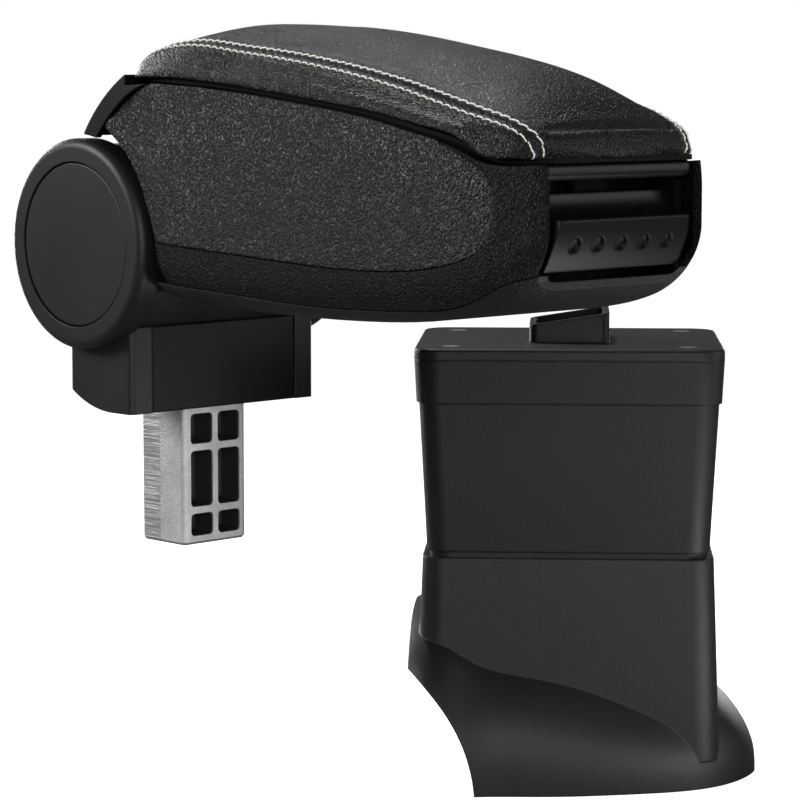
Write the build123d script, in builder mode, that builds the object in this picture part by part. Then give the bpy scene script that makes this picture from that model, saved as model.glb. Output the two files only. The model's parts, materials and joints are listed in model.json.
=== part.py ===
import os
from math import asin, atan2, cos, degrees, hypot, pi, radians, sin, tan

from build123d import *

os.makedirs("parts", exist_ok=True)

# Car centre armrest: a padded lid on a storage box, which tilts on a round hub,
# a column with a die-cast insert, and the console base whose socket takes that insert.
# Millimetres. X is forward, Y is left and Z is up.
# The origin is the insert's centre on the plane where the column meets the base.

# Hub and column
hub_height = 72.5
hub_setback = 5.0
hub_diameter = 91.0
cheek_proud = 1.5
cheek_thickness = 11.5
cheek_round = 4.0
cap_diameter = 70.0
cap_thickness = 3.0
cap_groove = 0.6
cap_round = 0.5
column_width = 106.0
column_front = 22.0
column_rear = 21.0
column_height = 38.0
column_wall = 3.0
column_round = 3.0
column_heel = 9.5
heel_run = 30.0
plate_width = 82.0
plate_groove = 0.4
plate_round = 1.0
swing_gap = 1.8
shroud_wall = 2.5
shroud_gap = 0.8
shroud_start = 116.0
shroud_lap = 4.0

# Insert and axle
insert_width = 36.6
insert_depth = 29.5
insert_length = 61.6
insert_round = 2.5
pocket_width = 12.6
pocket_depth = 11.0
pocket_web = 3.0
pocket_round = 2.0
pocket_draft = 6.0
pocket_heights = (10.0, 25.0, 13.5)
bottom_rim = 3.8
neck_width = 29.8
neck_depth = 24.0
neck_start = 8.0
head_diameter = 48.0
axle_diameter = 12.0
axle_head_width = 18.0
axle_head_sides = 6
axle_head_height = 4.5
axle_pocket = 24.0
running_fit = 0.05
friction_disc_thickness = 2.0
disc_spring_thickness = 1.0
disc_spring_rise = 0.9
disc_diameter = 34.0
end_play = 0.1

# Arm
arm_width = 121.0
arm_reach = 262.0
belly_depth = 24.5
belly_corner = 17.0
nose_lean = 3.5
nose_height = 24.5
skin = 3.0
tub_wall = 2.5
tub_drop = 1.0
fit = 0.3
panel_recess = 0.8
panel_groove = 0.5
parting_gap = 0.4
barrel_wall = 3.0
barrel_gap = 2.5
barrel_end_gap = 1.0
tilt_range = 90.0
slot_gap = 1.2
frame_plate = 6.0
frame_radius = 20.0
frame_flange = 3.0
frame_flange_width = 60.0
frame_flange_height = 32.0
rear_arc_back = 69.0
rear_arc_drop = 50.0
strip_low = 3.5
strip_foot = 47.8
strip_run = 28.0
strip_rise = 24.8
strip_bulge = 2.2
strip_wall = 3.5
strip_inset = 2.0
strip_block = 7.0
strip_corners = 8
shelf_rise = 3.5
shelf_wall = 2.5

# Lid
lid_rear = 34.5
lid_front_setback = 2.5
lid_joint_rear = 70.5
lid_joint_front = 40.2
lid_joint_gap = 2.4
board_lift = 0.4
board_inset = 5.5
liner_inset = 9.0
liner_depth = 3.4
liner_wall = 1.6
liner_gap = 4.0
pad_height = 17.0
pad_crown = 9.5
seam_inset = 11.5
hinge_ahead = 29.5
hinge_height = 68.8
hinge_spread = 30.0
hinge_arm = 3.0
knuckle_diameter = 5.0
knuckle_length = 12.0
knuckle_gap = 0.4
hinge_pin_diameter = 2.4
hinge_pin_grip = 8.0
bar_width = 80.6
bar_height = 7.0
bar_depth = 9.5
bar_round = 3.0
bar_setback = 4.5
buffer_width = 8.0
buffer_height = 1.2
buffer_spread = 30.0

# Latch
latch_opening = 87.0
bulkhead_setback = 25.5
lever_width = 76.0
lever_top = 18.5
lever_height = 19.5
lever_lean = 8.0
lever_bulge = 1.0
scoop_rise = 9.5
scoop_run = 12.5
scoop_depth = 1.0
lever_back = 3.5
lever_lip = 1.5
lever_round = 3.0
lever_setback = 1.0
dimple_diameter = 6.5
dimple_pitch = 13.0
dimple_count = 5
dimple_depth = 1.6
dimple_draft = 20.0
latch_pin_diameter = 4.0
latch_pin_height = 4.5
latch_pin_setback = 14.5
latch_wall = 4.0
latch_wall_gap = 0.8
latch_wall_top = 32.0
latch_wall_front = 10.0
catch_width = 18.0
catch_thickness = 3.0
catch_toe = 1.3
catch_foot = 23.0
catch_setback = 23.0
spring_width = 14.0
spring_thickness = 0.6
spring_gap = 0.8

# Console base
base_length = 136.0
base_width = 112.0
base_height = 194.0
base_corner = 12.0
base_wall = 2.6
cap_edge = 5.0
cap_edge_round = 1.5
rim_height = 24.0
rim_taper = 1.0
rim_step = 1.2
upper_taper = 3.4
upper_height = 90.0
waist_groove = 2.6
spigot_depth = 8.0
foot_step = 1.8
foot_taper = 3.4
foot_rise = 12.0
socket_wall = 2.8
socket_fit = 0.3
socket_spare = 3.0
chimney_low = 7.7
chimney_high = 13.3
chimney_round = 4.0
skirt_wall = 2.6
skirt_width = 152.0
skirt_top = 72.0
skirt_lead = 2.0
skirt_tail_reach = 17.0
skirt_fullness = 2.6
skirt_steps = 8
skirt_cut_radius = 72.0
skirt_cut_lead = 44.0
skirt_cut_drop = 5.0
screw_diameter = 4.0
screw_length = 14.0
screw_head = 8.0
screw_head_height = 2.5
screw_inset = 16.0
boss_diameter = 10.0
boss_length = 30.0

# Where the base stands: all zero puts it under the column, with the insert in its socket
base_ahead = 102.4
base_aside = 136.2
base_lift = 26.4
base_turn = 222.4

# Derived sizes
skirt_front = base_length / 2 + skirt_lead
skirt_tail = base_length / 2 + skirt_tail_reach
skirt_cut_ahead = base_length / 2 + skirt_cut_lead
hub_radius = hub_diameter / 2
half_arm = arm_width / 2
cheek_face = half_arm + cheek_proud
cheek_back = cheek_face - cheek_thickness
barrel_radius = hub_radius - barrel_gap
barrel_bore = barrel_radius - barrel_wall
barrel_half = cheek_back - barrel_end_gap
clear_radius = hub_radius + swing_gap
half_column = column_width / 2
half_plate = plate_width / 2
seat = -hub_height
column_top = column_height - hub_height
front_face = column_front + hub_setback
rear_face = hub_setback - column_rear
axle_radius = axle_diameter / 2
axle_seat = cheek_face - cap_thickness - cap_round - axle_head_height - fit
half_neck = neck_width / 2
ear_start = half_neck + friction_disc_thickness + disc_spring_thickness + disc_spring_rise + end_play
tub_rear = clear_radius + fit
bulkhead = arm_reach - bulkhead_setback
strip_slope = atan2(strip_rise, strip_run)
half_strip = half_arm - strip_inset
knuckle_radius = knuckle_diameter / 2
hinge_pin_half = hinge_spread + knuckle_length / 2 + knuckle_gap + hinge_pin_grip
lid_front = arm_reach - lid_front_setback
lid_length = lid_front - lid_rear
half_lever = lever_width / 2
lever_front = arm_reach - lever_setback
latch_pin_ahead = arm_reach - latch_pin_setback
latch_wall_face = half_lever + latch_wall_gap
section_top = lid_joint_rear + pad_height + pad_crown + skin
wide = arm_width + arm_reach

# The arm's sides and underside: share of the reach, of the half width and of the belly's depth
arm_shape = (
    (0.07, 0.975, 0.66),
    (0.19, 0.988, 0.84),
    (0.34, 0.997, 0.96),
    (0.50, 1.000, 1.00),
    (0.65, 0.997, 0.98),
    (0.78, 0.982, 0.88),
    (0.88, 0.936, 0.68),
    (0.943, 0.851, 0.46),
    (0.981, 0.769, 0.24),
    (1.008, 0.678, 0.08),
)
# The line where the lid meets the box: share of the reach, and of the fall from rear to front
joint_shape = (
    (0.03, 1.01),
    (0.14, 1.0),
    (0.267, 0.957),
    (0.42, 0.845),
    (0.573, 0.693),
    (0.70, 0.531),
    (0.779, 0.383),
    (0.84, 0.264),
    (0.878, 0.139),
    (0.903, 0.04),
    (0.93, 0.0),
    (1.05, 0.0),
)
# The line where the side covers meet the lower shell: share of the reach, and of the belly's depth
parting_shape = (
    (0.0, 0.50),
    (0.225, 0.59),
    (0.36, 0.66),
    (0.54, 0.76),
    (0.74, 0.73),
    (0.88, 0.49),
    (0.95, 0.15),
    (0.966, 0.105),
    (0.98, 0.04),
    (1.05, 0.0),
)
# The edge of the inset side panel, from the rear below round its front end to the top: share of the reach,
# and of the joint's front height; above the share panel_bow the edge turns back
panel_bow = 0.65
panel_shape = (
    (0.0, 0.16),
    (0.20, 0.067),
    (0.50, -0.04),
    (0.76, -0.055),
    (0.858, 0.045),
    (0.903, 0.19),
    (0.919, 0.366),
    (0.9248, 0.612),
    (0.9206, 0.761),
    (0.9107, 0.89),
    (0.894, 0.98),
    (0.874, 1.055),
    (0.84, 1.16),
    (0.80, 1.29),
)
# The rounded rear corner of the side panel: share of the rear strip's run and of its rise
corner_shape = (
    (0.158, -0.2555),
    (0.415, 0.0436),
    (0.559, 0.211),
    (0.70, 0.347),
    (0.89, 0.514),
    (1.079, 0.646),
    (1.312, 0.761),
    (1.54, 0.825),
    (1.881, 0.873),
    (2.475, 0.937),
)
# The upholstered lid: share of its length, of the half width, of the pad's height and of its crown
pad_shape = (
    (0.0, 0.86, 0.32, 0.30),
    (0.023, 0.94, 0.65, 0.47),
    (0.063, 0.975, 0.83, 0.74),
    (0.153, 0.985, 0.955, 1.0),
    (0.31, 0.99, 0.906, 1.22),
    (0.46, 0.992, 0.91, 1.29),
    (0.60, 0.99, 0.86, 1.33),
    (0.735, 0.977, 0.735, 1.42),
    (0.85, 0.945, 0.77, 1.40),
    (0.93, 0.87, 0.785, 0.92),
    (0.975, 0.80, 0.49, 0.53),
    (1.0, 0.735, 0.36, 0.40),
)
# The saddle skirt of the base: distance ahead of the socket as a share of its front or tail,
# share of the half width and of the height
skirt_shape = (
    (1.0, 1.0, 1.0),
    (0.57, 0.993, 0.93),
    (0.09, 0.96, 0.826),
    (-0.29, 0.888, 0.722),
    (-0.53, 0.816, 0.639),
    (-0.70, 0.73, 0.549),
    (-0.845, 0.592, 0.417),
    (-0.94, 0.434, 0.278),
    (-1.0, 0.25, 0.125),
)

side_plane = Plane(origin=(-hub_setback, 0, hub_height), x_dir=(1, 0, 0), z_dir=(0, -1, 0))
base_heading = (cos(radians(base_turn)), sin(radians(base_turn)), 0)
base_plane = Plane(origin=(base_ahead, base_aside, base_lift), x_dir=base_heading, z_dir=(0, 0, 1))
base_side = Plane(origin=base_plane.origin, x_dir=base_plane.x_dir, z_dir=-base_plane.y_dir)


def station(ahead):
    return Plane(origin=(ahead - hub_setback, 0, hub_height), x_dir=(0, 1, 0), z_dir=(1, 0, 0))


def joint_points(shift):
    fall = lid_joint_rear - lid_joint_front
    return [(share * arm_reach, lid_joint_front + rise * fall + shift) for share, rise in joint_shape]


def joint_height(ahead):
    points = joint_points(0)
    for (x0, z0), (x1, z1) in zip(points, points[1:]):
        if ahead <= x1:
            return z0 + (z1 - z0) * (ahead - x0) / (x1 - x0)
    return points[-1][1]


def finish(piece, name):
    piece.part.label = name
    export_step(piece.part, f"parts/{name}.step")
    print(name, round(piece.part.volume / 1000, 1), "cm3")


def finish_pair(right_piece, name):
    finish(right_piece, f"{name}_right")
    with BuildPart() as left_piece:
        add(mirror(right_piece.part, about=Plane.XZ, mode=Mode.PRIVATE))
    finish(left_piece, f"{name}_left")


# Forms that several pieces are cut from


def arm_form(inset):
    with BuildPart() as form:
        for along, across, down in arm_shape:
            half = half_arm * across - inset
            floor = -belly_depth * down + inset
            with BuildSketch(station(along * arm_reach)) as section:
                with BuildLine():
                    Polyline(
                        (-half, section_top), (-half, floor), (half, floor), (half, section_top), close=True
                    )
                make_face()
                fillet(section.vertices().group_by(Axis.Y)[0], belly_corner - inset)
        loft()
    return form.part


def lid_band(low, high):
    with BuildPart() as band:
        with BuildSketch(side_plane):
            with BuildLine():
                lower = Spline(*joint_points(low))
                upper = Spline(*joint_points(high))
                Line(lower @ 0, upper @ 0)
                Line(lower @ 1, upper @ 1)
            make_face()
        extrude(amount=wide, both=True)
    return band.part


def slab(rear, front, low=-wide, high=wide, inner=-wide, outer=wide):
    # A block by its distances from the hub axis, and from the middle towards the right
    with BuildPart() as block:
        with BuildSketch(side_plane.offset(inner)):
            with BuildLine():
                Polyline((rear, low), (front, low), (front, high), (rear, high), close=True)
            make_face()
        extrude(amount=outer - inner)
    return block.part


def nose_region():
    with BuildPart() as region:
        with BuildSketch(side_plane):
            with BuildLine():
                nose = ThreePointArc(
                    (arm_reach - nose_lean, lid_joint_front),
                    (arm_reach, nose_height),
                    (arm_reach - lever_lean, lever_top - lever_height - skin),
                )
                Polyline(
                    nose @ 1,
                    ((nose @ 1).X, -wide),
                    (-wide, -wide),
                    (-wide, wide),
                    ((nose @ 0).X, wide),
                    nose @ 0,
                )
            make_face()
        extrude(amount=wide, both=True)
    return region.part


def below_parting(shift):
    points = [(share * arm_reach, -belly_depth * down + shift) for share, down in parting_shape]
    with BuildPart() as region:
        with BuildSketch(side_plane):
            with BuildLine():
                line = Spline(*points)
                Polyline(line @ 1, ((line @ 1).X, -wide), ((line @ 0).X, -wide), line @ 0)
            make_face()
        extrude(amount=wide, both=True)
    return region.part


def panel_zone(shrink):
    points = []
    for share, rise in panel_shape:
        inward = shrink if rise < panel_bow else -shrink
        points.append((share * arm_reach - shrink, rise * lid_joint_front + inward))
    with BuildPart() as zone:
        with BuildSketch(side_plane):
            with BuildLine():
                edge = Spline(*points)
                Polyline(edge @ 1, ((edge @ 1).X, wide), ((edge @ 0).X, wide), edge @ 0)
            make_face()
        extrude(amount=wide)
    return zone.part


def corner_points(shift):
    return [
        (strip_low + across * strip_run - shift, strip_foot + up * strip_rise + shift)
        for across, up in corner_shape
    ]


def behind_side():
    # What the sides leave free at the rear: the round over the hub and the rounded upper corner
    with BuildPart() as region:
        with BuildSketch(side_plane):
            with Locations((-rear_arc_back, -rear_arc_drop)):
                Circle(hypot(rear_arc_back, rear_arc_drop) + clear_radius)
        extrude(amount=wide, both=True)
        with BuildSketch(side_plane):
            with BuildLine():
                corner = Spline(*corner_points(0))
                above = ((corner @ 1).X, wide)
                behind = (-wide, (corner @ 0).Y)
                Polyline(corner @ 1, above, (-wide, wide), behind, corner @ 0)
            make_face()
        extrude(amount=wide, both=True)
    return region.part


outer_form = arm_form(0)
inner_form = arm_form(skin)
panel_form = arm_form(panel_recess)
tub_form = arm_form(skin + fit)
bin_form = arm_form(skin + fit + tub_wall)
board_form = arm_form(board_inset)
liner_form = arm_form(liner_inset)
liner_hollow = arm_form(liner_inset + liner_wall)
nose_form = nose_region()
under_lid = lid_band(-wide, -lid_joint_gap / 2)
board_top = lid_joint_gap / 2
board_bottom = board_lift - lid_joint_gap / 2
rear_void = behind_side()

# Column cover with its hub cheek

with BuildPart() as column_cover:
    with BuildSketch(side_plane.offset(half_plate + plate_groove)):
        with BuildLine():
            heel_radius = (heel_run**2 + column_heel**2) / (2 * column_heel)
            heel_mid = heel_run / 2
            heel = ThreePointArc(
                (rear_face, seat + column_heel),
                (rear_face + heel_mid, seat + heel_radius - (heel_radius**2 - heel_mid**2) ** 0.5),
                (rear_face + heel_run, seat),
            )
            Polyline(
                heel @ 1, (front_face, seat), (front_face, column_top), (rear_face, column_top), heel @ 0
            )
        make_face()
    extrude(amount=half_column - half_plate - plate_groove)
    fillet(column_cover.edges().filter_by(Axis.Z).group_by(Axis.Y)[0], column_round)
    with BuildSketch(side_plane):
        with Locations(((front_face + rear_face) / 2, 0)):
            Rectangle(front_face - rear_face - 2 * column_wall, 2 * hub_height + 2 * column_height)
    extrude(amount=half_column - column_wall, mode=Mode.SUBTRACT)
    with BuildSketch(side_plane):
        Circle(barrel_radius + slot_gap)
    extrude(amount=cheek_back, mode=Mode.SUBTRACT)
    with BuildSketch(side_plane.offset(cheek_back)):
        Circle(hub_radius)
    extrude(amount=cheek_thickness)
    fillet(column_cover.faces().sort_by(Axis.Y)[0].edges(), cheek_round)
    with BuildSketch(side_plane.offset(cheek_face - cap_thickness - cap_round)):
        Circle(cap_diameter / 2 + cap_groove)
    extrude(amount=cheek_thickness, mode=Mode.SUBTRACT)
    with BuildSketch(side_plane.offset(axle_seat)):
        Circle(axle_pocket / 2)
    extrude(amount=cheek_thickness, mode=Mode.SUBTRACT)
    with BuildSketch(side_plane):
        Circle(axle_radius + running_fit)
    extrude(amount=cheek_face, mode=Mode.SUBTRACT)
finish_pair(column_cover, "column_cover")

with BuildPart() as hub_cap:
    with BuildSketch(side_plane.offset(cheek_face - cap_thickness - cap_round)):
        Circle(cap_diameter / 2)
    extrude(amount=cap_thickness)
    fillet(hub_cap.faces().sort_by(Axis.Y)[0].edges(), cap_round)
finish_pair(hub_cap, "hub_cap")

with BuildPart() as column_front_plate:
    with BuildSketch(Plane.XY):
        with Locations((column_front - column_wall / 2, 0)):
            Rectangle(column_wall, plate_width)
    extrude(amount=column_height)
    fillet(column_front_plate.faces().sort_by(Axis.X)[-1].edges(), plate_round)
    with BuildSketch(side_plane):
        Circle(barrel_radius + slot_gap)
    extrude(amount=plate_width, both=True, mode=Mode.SUBTRACT)
finish(column_front_plate, "column_front_plate")

# Rear plate of the column, drawn up as a shroud behind the barrel
with BuildPart() as column_rear_cover:
    shroud_inner = barrel_radius + shroud_gap
    shroud_mean = shroud_inner + shroud_wall / 2
    meet = 180 + degrees(asin((shroud_mean**2 - rear_face**2) ** 0.5 / shroud_mean))
    for half_width, finish_angle in ((barrel_half, meet - shroud_lap), (half_plate, meet + shroud_lap)):
        with BuildSketch(side_plane):
            with BuildLine():
                inside = CenterArc((0, 0), shroud_inner, shroud_start, finish_angle - shroud_start)
                outside = CenterArc(
                    (0, 0), shroud_inner + shroud_wall, shroud_start, finish_angle - shroud_start
                )
                Line(inside @ 0, outside @ 0)
                Line(inside @ 1, outside @ 1)
            make_face()
        extrude(amount=half_width, both=True)
    plate_top = -((shroud_inner**2 - rear_face**2) ** 0.5)
    with BuildSketch(side_plane):
        with BuildLine():
            Polyline(
                (rear_face, seat + column_heel),
                (rear_face + column_wall, seat + column_heel),
                (rear_face + column_wall, plate_top - column_wall),
                (rear_face, plate_top - column_wall / 2),
                close=True,
            )
        make_face()
    extrude(amount=half_plate, both=True)
finish(column_rear_cover, "column_rear_cover")

# Die-cast insert: the ribbed post, its neck and the head that the axle passes through
with BuildPart() as insert:
    with BuildSketch(Plane.XY.offset(-insert_length)):
        RectangleRounded(insert_depth, insert_width, insert_round)
    extrude(amount=insert_length + neck_start)
    chamfer(insert.faces().sort_by(Axis.Z)[0].edges(), insert_round / 2)
    with BuildSketch(Plane.XY.offset(neck_start)):
        Rectangle(insert_depth, neck_width)
    with BuildSketch(Plane.XY.offset(hub_height - neck_depth / 2)):
        with Locations((-hub_setback, 0)):
            Rectangle(neck_depth, neck_width)
    loft()
    with BuildSketch(side_plane):
        Circle(head_diameter / 2)
    extrude(amount=half_neck, both=True)
    with BuildSketch(side_plane):
        Circle(axle_radius + running_fit)
    extrude(amount=half_neck, both=True, mode=Mode.SUBTRACT)
    pocket_face = Plane(origin=(insert_depth / 2, 0, -insert_length), x_dir=(0, 1, 0), z_dir=(1, 0, 0))
    pocket_foot = bottom_rim
    for pocket_height in pocket_heights:
        with BuildSketch(pocket_face):
            with Locations((0, pocket_foot + pocket_height / 2)):
                with GridLocations(pocket_width + pocket_web, 0, 2, 1):
                    RectangleRounded(pocket_width, pocket_height, pocket_round)
        extrude(amount=-pocket_depth, taper=pocket_draft, mode=Mode.SUBTRACT)
        pocket_foot += pocket_height + pocket_web
finish(insert, "insert")

with BuildPart() as axle:
    with BuildSketch(side_plane.offset(-axle_seat - axle_head_height)):
        Circle(axle_radius)
    extrude(amount=2 * axle_seat + axle_head_height)
    with BuildSketch(side_plane.offset(axle_seat)):
        RegularPolygon(axle_head_width / 2, axle_head_sides, major_radius=False)
    extrude(amount=axle_head_height)
finish(axle, "axle")

with BuildPart() as axle_nut:
    with BuildSketch(side_plane.offset(-axle_seat - axle_head_height)):
        RegularPolygon(axle_head_width / 2, axle_head_sides, major_radius=False)
        Circle(axle_radius + running_fit, mode=Mode.SUBTRACT)
    extrude(amount=axle_head_height)
finish(axle_nut, "axle_nut")

with BuildPart() as friction_discs:
    for side in (1, -1):
        with BuildSketch(side_plane.offset(side * half_neck)):
            Circle(disc_diameter / 2)
            Circle(axle_radius + running_fit, mode=Mode.SUBTRACT)
        extrude(amount=side * friction_disc_thickness)
finish(friction_discs, "friction_discs")

with BuildPart() as disc_springs:
    spring_seat = half_neck + friction_disc_thickness
    spring_peak = spring_seat + disc_spring_rise
    spring_plane = Plane(origin=side_plane.origin, x_dir=(1, 0, 0), z_dir=(0, 0, 1))
    for side in (1, -1):
        with BuildSketch(spring_plane):
            with BuildLine():
                Polyline(
                    (axle_radius + running_fit, side * spring_peak),
                    (axle_radius + running_fit, side * (spring_peak + disc_spring_thickness)),
                    (disc_diameter / 2, side * (spring_seat + disc_spring_thickness)),
                    (disc_diameter / 2, side * spring_seat),
                    close=True,
                )
            make_face()
        revolve(axis=Axis(side_plane.origin, (0, 1, 0)))
finish(disc_springs, "disc_springs")

# Arm: the steel frame that turns on the axle

with BuildPart() as hinge_frame:
    for side in (1, -1):
        with BuildSketch(side_plane.offset(side * ear_start)):
            Circle(frame_radius)
            with BuildLine():
                Polyline(
                    (0, frame_radius),
                    (tub_rear - fit, frame_flange_height / 2),
                    (tub_rear - fit, -frame_flange_height / 2),
                    (0, -frame_radius),
                    close=True,
                )
            make_face()
        extrude(amount=side * frame_plate)
    with BuildSketch(side_plane):
        with Locations((tub_rear - fit - frame_flange / 2, 0)):
            Rectangle(frame_flange, frame_flange_height)
    extrude(amount=frame_flange_width / 2, both=True)
    with BuildSketch(side_plane):
        Circle(axle_radius + running_fit)
    extrude(amount=frame_flange_width, both=True, mode=Mode.SUBTRACT)
    frame_hole_span = 2 * ear_start - screw_head - screw_diameter
    with BuildSketch(station(tub_rear)):
        with GridLocations(frame_hole_span, frame_flange_height / 2, 2, 2):
            Circle(screw_diameter / 2 + running_fit)
    extrude(amount=-frame_flange - 2 * fit, mode=Mode.SUBTRACT)
finish(hinge_frame, "hinge_frame")

with BuildPart() as frame_screws:
    with BuildSketch(station(tub_rear + tub_wall)):
        with GridLocations(frame_hole_span, frame_flange_height / 2, 2, 2):
            Circle(screw_head / 2)
    extrude(amount=screw_head_height)
    with BuildSketch(station(tub_rear + tub_wall)):
        with GridLocations(frame_hole_span, frame_flange_height / 2, 2, 2):
            Circle(screw_diameter / 2)
    extrude(amount=-tub_wall - frame_flange - fit)
finish(frame_screws, "frame_screws")

# Lower shell: the underside, and the barrel that wraps the hub between the cheeks
with BuildPart() as lower_shell:
    add(outer_form)
    add(inner_form, mode=Mode.SUBTRACT)
    add(below_parting(-parting_gap / 2), mode=Mode.INTERSECT)
    add(nose_form, mode=Mode.INTERSECT)
    with BuildSketch(side_plane):
        Circle(clear_radius)
    extrude(amount=wide, both=True, mode=Mode.SUBTRACT)
    with BuildSketch(side_plane):
        Circle(barrel_radius)
        with Locations((clear_radius - barrel_wall, -belly_depth / 2)):
            Rectangle(2 * barrel_wall, belly_depth / 2)
    extrude(amount=barrel_half, both=True)
    with BuildSketch(side_plane):
        Circle(barrel_bore)
    extrude(amount=barrel_half - barrel_wall, both=True, mode=Mode.SUBTRACT)
    with BuildSketch(side_plane):
        Circle(axle_radius + fit)
    extrude(amount=barrel_half, both=True, mode=Mode.SUBTRACT)
    with BuildSketch(side_plane):
        with Locations((barrel_radius, 0)):
            Rectangle(barrel_radius, frame_flange_height + 2 * slot_gap)
    extrude(amount=frame_flange_width / 2 + slot_gap, both=True, mode=Mode.SUBTRACT)
    slot_front = -90 + degrees(asin((hub_setback + insert_depth / 2 + slot_gap) / barrel_bore))
    slot_rear = -90 - tilt_range - degrees(asin((neck_depth / 2 + slot_gap) / barrel_bore))
    with BuildSketch(side_plane):
        with BuildLine():
            sweep_arc = CenterArc((0, 0), clear_radius, slot_front, slot_rear - slot_front)
            Polyline(sweep_arc @ 1, (0, 0), sweep_arc @ 0)
        make_face()
    extrude(amount=half_neck + slot_gap, both=True, mode=Mode.SUBTRACT)
finish(lower_shell, "lower_shell")

# Side cover: the leather-grained band that runs round the panel and forms the front cheek
with BuildPart() as side_cover:
    add(outer_form)
    add(inner_form, mode=Mode.SUBTRACT)
    add(nose_form, mode=Mode.INTERSECT)
    add(under_lid, mode=Mode.INTERSECT)
    add(slab(-wide, wide, inner=latch_opening / 2), mode=Mode.INTERSECT)
    add(below_parting(parting_gap / 2), mode=Mode.SUBTRACT)
    add(rear_void, mode=Mode.SUBTRACT)
    add(panel_zone(0), mode=Mode.SUBTRACT)
finish_pair(side_cover, "side_cover")

with BuildPart() as side_panel:
    add(panel_form)
    add(inner_form, mode=Mode.SUBTRACT)
    add(under_lid, mode=Mode.INTERSECT)
    add(panel_zone(panel_groove), mode=Mode.INTERSECT)
    add(rear_void, mode=Mode.SUBTRACT)
finish_pair(side_panel, "side_panel")

# Rear strip: a curved skin from the hub to the lid, with the block that holds the lid's pin
with BuildPart() as rear_cover:
    strip_out = (-sin(strip_slope), cos(strip_slope))
    strip_end = (strip_low + strip_run, strip_foot + strip_rise)
    strip_mid = (strip_low + strip_run / 2, strip_foot + strip_rise / 2)
    strip_edge = corner_points(panel_groove)[:strip_corners]
    shelf_high = strip_foot + shelf_rise + shelf_wall
    with BuildSketch(side_plane):
        with BuildLine():
            ThreePointArc(
                (strip_low, strip_foot),
                (strip_mid[0] + strip_bulge * strip_out[0], strip_mid[1] + strip_bulge * strip_out[1]),
                strip_end,
            )
            edge = Spline(*strip_edge)
            Polyline(strip_end, (strip_end[0], lid_joint_rear - lid_joint_gap), edge @ 1)
            Line(edge @ 0, (strip_low, strip_foot))
        make_face()
    extrude(amount=half_strip, both=True)
    hollow_front = strip_end[0] - strip_block
    with BuildSketch(side_plane):
        with BuildLine():
            inside = ThreePointArc(
                (strip_low - strip_wall * strip_out[0], strip_foot - strip_wall * strip_out[1]),
                (
                    strip_mid[0] + (strip_bulge - strip_wall) * strip_out[0],
                    strip_mid[1] + (strip_bulge - strip_wall) * strip_out[1],
                ),
                (strip_end[0] - strip_wall * strip_out[0], strip_end[1] - strip_wall * strip_out[1]),
            )
            Polyline(inside @ 1, ((inside @ 1).X, 0), ((inside @ 0).X, 0), inside @ 0)
        make_face()
        with Locations((hollow_front, 0)):
            Rectangle(wide, wide, align=(Align.MIN, Align.CENTER), mode=Mode.SUBTRACT)
    extrude(amount=half_strip - skin, both=True, mode=Mode.SUBTRACT)
    with BuildSketch(side_plane):
        with BuildLine():
            Polyline(
                (strip_low + strip_wall + shelf_rise, shelf_high - shelf_wall),
                (tub_rear - fit, shelf_high - shelf_wall),
                (tub_rear - fit, shelf_high),
                (strip_low + strip_wall + shelf_rise, shelf_high),
                close=True,
            )
        make_face()
    extrude(amount=half_strip - 2 * skin, both=True)
    with BuildSketch(side_plane):
        Circle(clear_radius)
    extrude(amount=wide, both=True, mode=Mode.SUBTRACT)
    with BuildSketch(side_plane):
        with Locations((hinge_ahead, hinge_height)):
            Circle(hinge_pin_diameter / 2 + running_fit)
    extrude(amount=hinge_pin_half + fit, both=True, mode=Mode.SUBTRACT)
    notch_reach = knuckle_radius + knuckle_gap
    for side in (1, -1):
        with BuildSketch(side_plane.offset(side * (hinge_spread - knuckle_length / 2 - knuckle_gap))):
            with Locations((hinge_ahead - notch_reach, hinge_height - notch_reach)):
                Rectangle(wide, wide, align=Align.MIN)
        extrude(amount=side * (knuckle_length + 2 * knuckle_gap), mode=Mode.SUBTRACT)
finish(rear_cover, "rear_cover")

# Storage tub: the bin and the latch walls in front of it
latch_side = slab(
    bulkhead - tub_wall,
    arm_reach - latch_wall_front,
    high=latch_wall_top,
    inner=latch_wall_face,
    outer=latch_wall_face + latch_wall,
)
with BuildPart() as bin_space:
    add(bin_form)
    add(slab(tub_rear + tub_wall, bulkhead - tub_wall), mode=Mode.INTERSECT)
with BuildPart() as latch_walls:
    add(latch_side)
    add(mirror(latch_side, about=Plane.XZ, mode=Mode.PRIVATE))
    add(tub_form, mode=Mode.INTERSECT)
with BuildPart() as storage_tub:
    add(tub_form)
    add(slab(tub_rear, bulkhead), mode=Mode.INTERSECT)
    add(lid_band(-wide, -lid_joint_gap / 2 - tub_drop), mode=Mode.INTERSECT)
    add(latch_walls.part)
    add(bin_space.part, mode=Mode.SUBTRACT)
    with BuildSketch(side_plane):
        with Locations((latch_pin_ahead, latch_pin_height)):
            Circle(latch_pin_diameter / 2 + running_fit)
    extrude(amount=wide, both=True, mode=Mode.SUBTRACT)
    with BuildSketch(station(tub_rear - fit)):
        with GridLocations(frame_hole_span, frame_flange_height / 2, 2, 2):
            Circle(screw_diameter / 2 + running_fit)
    extrude(amount=tub_wall + 2 * fit, mode=Mode.SUBTRACT)
finish(storage_tub, "storage_tub")

with BuildPart() as lid_buffers:
    tub_top = -lid_joint_gap / 2 - tub_drop
    for side in (1, -1):
        with BuildSketch(side_plane.offset(side * (buffer_spread - buffer_width / 2))):
            with Locations((bulkhead - tub_wall / 2, lid_joint_front)):
                Rectangle(tub_wall, lid_joint_front)
        extrude(amount=side * buffer_width)
    add(lid_band(tub_top, tub_top + buffer_height), mode=Mode.INTERSECT)
finish(lid_buffers, "lid_buffers")

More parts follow.
